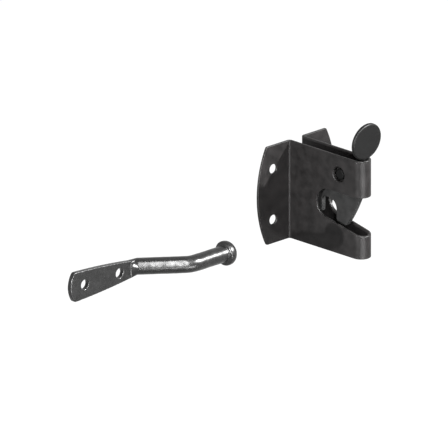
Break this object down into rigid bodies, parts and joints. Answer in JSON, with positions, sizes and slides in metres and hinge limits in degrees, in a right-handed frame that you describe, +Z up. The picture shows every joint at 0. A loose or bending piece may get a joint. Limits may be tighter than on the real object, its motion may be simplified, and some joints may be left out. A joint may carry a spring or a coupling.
{
  "type": "automatic gate catch",
  "caption": "Folded steel gate catch with a C-shaped mouth, a lifting hook pawl with a round thumb disc, and a cranked striker bar with a domed head.",
  "frame": {"origin": "on the post face, at the centre of the housing's four screw holes", "axes": "+X out of the post face towards the nose, +Y along the gate away from the striker, +Z up"},
  "size_m": [0.0814, 0.3206, 0.1104],
  "materials": {
    "black_sheet": "satin black",
    "black_plate": "satin black",
    "black_rivet": "satin black",
    "black_forging": "semi-gloss black"
  },
  "bodies": {
    "catch": {"housing": "black_sheet", "pivot_rivet": "black_rivet", "striker_bar": "black_forging"},
    "hook": {"pawl": "black_plate"}
  },
  "joints": [
    {"name": "pawl_lift", "type": "slide", "parent": "catch", "child": "hook", "axis": [0, 0, 1], "range_m": [0, 0.0148]}
  ]
}
